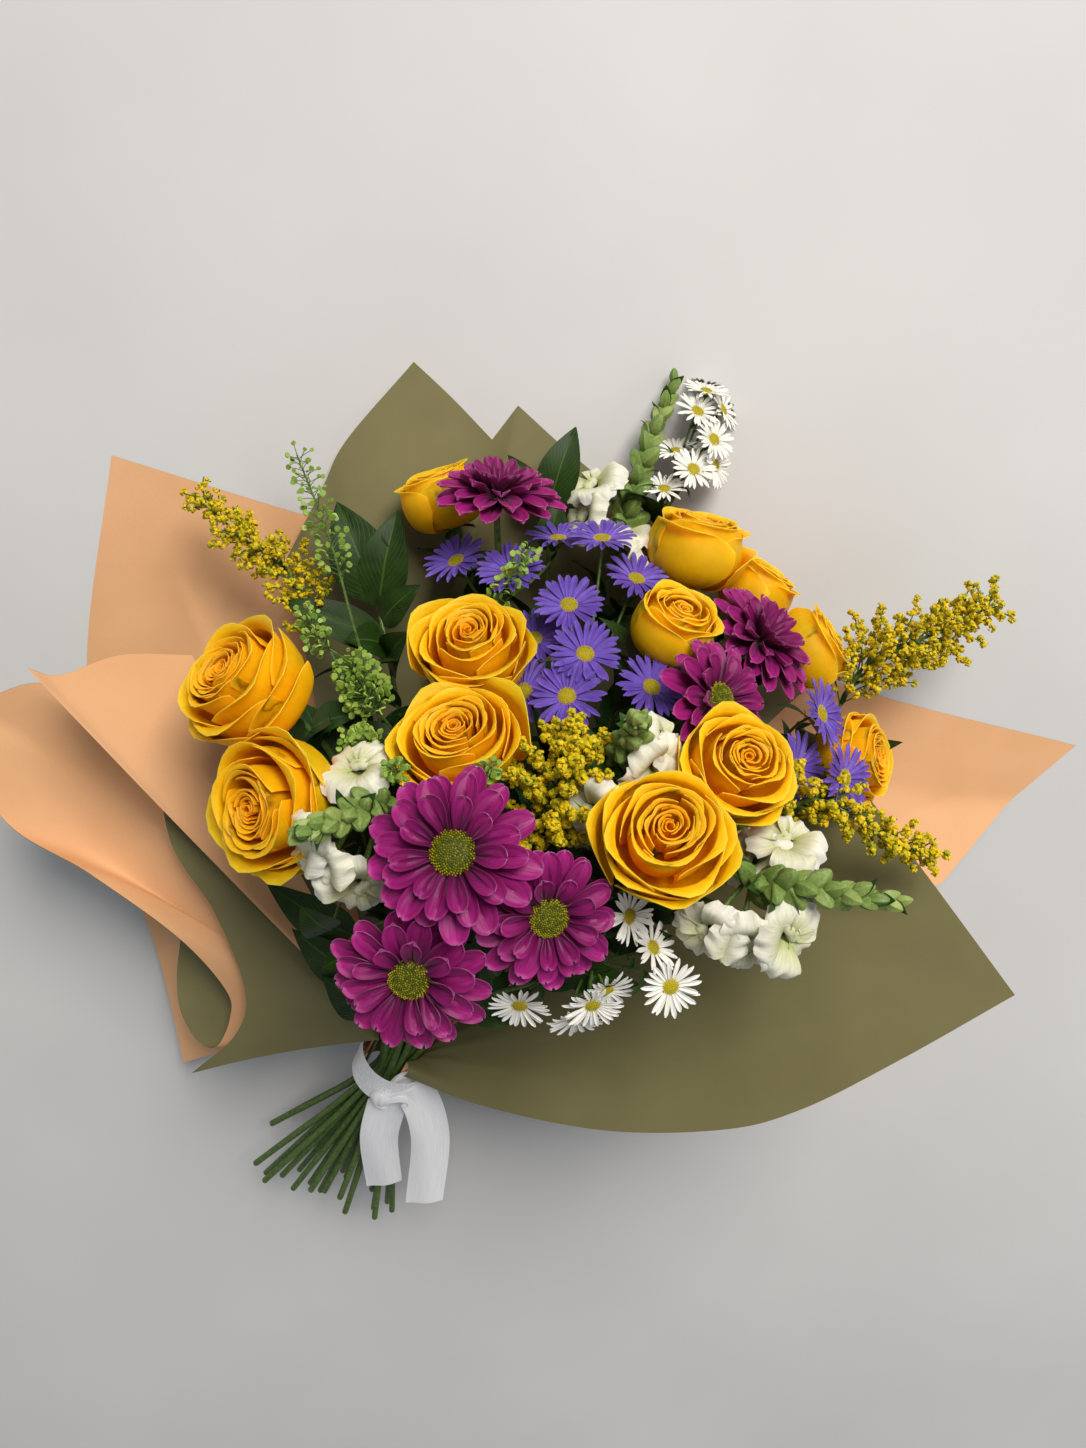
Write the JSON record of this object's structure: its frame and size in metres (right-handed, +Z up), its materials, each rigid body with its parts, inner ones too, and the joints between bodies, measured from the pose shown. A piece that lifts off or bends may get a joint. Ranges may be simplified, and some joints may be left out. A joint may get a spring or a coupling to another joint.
{
  "type": "mixed flower bouquet",
  "caption": "Hand-tied bouquet of yellow roses, magenta chrysanthemums and mixed small flowers in two-tone paper with a satin ribbon, lying on its back.",
  "frame": {"origin": "on the table, under the middle of the bouquet's bounding box", "axes": "+Z up from the table; +X across the fan of paper, to the right seen from above with the blooms away; +Y from the stem ends towards the blooms"},
  "size_m": [0.7132, 0.6488, 0.2899],
  "materials": {
    "rose_petal": "satin",
    "mum_petal": "matte",
    "mum_disc": "matte",
    "aster_ray": "matte",
    "white_petal": "satin",
    "daisy_ray": "matte",
    "goldenrod_floret": "matte",
    "pod_green": "matte",
    "leaf_green": "satin",
    "stem_green": "matte",
    "paper_peach": "matte",
    "paper_olive": "matte",
    "satin_white": "satin"
  },
  "bodies": {
    "root": {"rose_1_bloom": "rose_petal", "rose_1_stem": "stem_green", "rose_2_bloom": "rose_petal", "rose_2_stem": "stem_green", "rose_3_bloom": "rose_petal", "rose_3_stem": "stem_green", "rose_4_bloom": "rose_petal", "rose_4_stem": "stem_green", "rose_5_bloom": "rose_petal", "rose_5_stem": "stem_green", "rose_6_bloom": "rose_petal", "rose_6_stem": "stem_green", "rose_7_bloom": "rose_petal", "rose_7_stem": "stem_green", "rose_8_bloom": "rose_petal", "rose_8_stem": "stem_green", "rose_9_bloom": "rose_petal", "rose_9_stem": "stem_green", "rose_10_bloom": "rose_petal", "rose_10_stem": "stem_green", "rose_11_bloom": "rose_petal", "rose_11_stem": "stem_green", "rose_12_bloom": "rose_petal", "rose_12_stem": "stem_green", "mum_1_bloom": "mum_petal", "mum_2_bloom": "mum_petal", "mum_3_bloom": "mum_petal", "mum_4_bloom": "mum_petal", "mum_5_bloom": "mum_petal", "mum_6_bloom": "mum_petal", "mum_1_disc": "mum_disc", "mum_2_disc": "mum_disc", "mum_3_disc": "mum_disc", "mum_5_disc": "mum_disc", "mum_stems_1": "stem_green", "mum_stems_2": "stem_green", "aster_spray_1": "aster_ray", "aster_spray_2": "aster_ray", "aster_spray_3": "aster_ray", "snapdragon_1": "white_petal", "goldenrod_1": "goldenrod_floret", "snapdragon_2": "white_petal", "goldenrod_2": "goldenrod_floret", "snapdragon_3": "white_petal", "goldenrod_3": "goldenrod_floret", "snapdragon_4": "white_petal", "goldenrod_4": "goldenrod_floret", "daisy_spray_1": "daisy_ray", "pepper_grass_1": "pod_green", "ruscus_1": "leaf_green", "daisy_spray_2": "daisy_ray", "pepper_grass_2": "pod_green", "ruscus_2": "leaf_green", "paper_back_peach": "paper_peach", "paper_left_roll": "paper_peach", "paper_left_front": "paper_peach", "paper_back_olive": "paper_olive", "paper_left_olive": "paper_olive", "paper_front_right": "paper_olive", "ribbon": "satin_white"}
  },
  "joints": []
}
